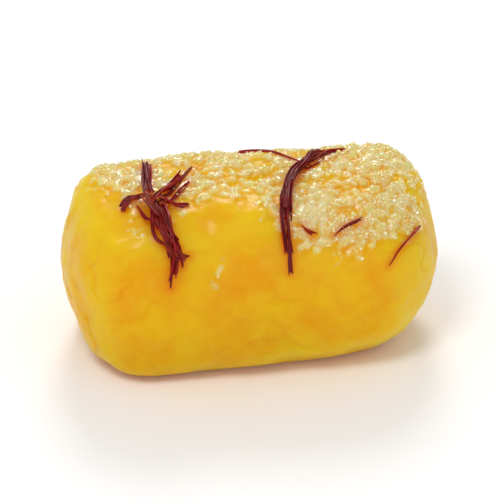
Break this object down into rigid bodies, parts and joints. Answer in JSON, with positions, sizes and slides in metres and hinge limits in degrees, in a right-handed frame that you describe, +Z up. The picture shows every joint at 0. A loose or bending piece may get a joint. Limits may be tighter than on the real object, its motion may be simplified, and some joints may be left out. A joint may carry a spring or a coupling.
{
  "type": "petha",
  "caption": "Block of candied ash gourd with softened edges, a flat foot to rest on, a frost of sugar over its upper side and saffron threads.",
  "frame": {"origin": "middle of the block's outline, on the surface that its flat foot rests on", "axes": "+X along the block's long side to the right, +Y to its back, +Z up"},
  "size_m": [0.0522, 0.0294, 0.0257],
  "materials": {
    "candied_gourd": "translucent golden candied flesh under a thin clear syrup glaze",
    "sugar_frost": "pale crust of fine sugar grains that glint",
    "saffron": "dark crimson dried stigmas, damp with syrup"
  },
  "bodies": {
    "root": {"petha": "candied_gourd"}
  },
  "joints": []
}
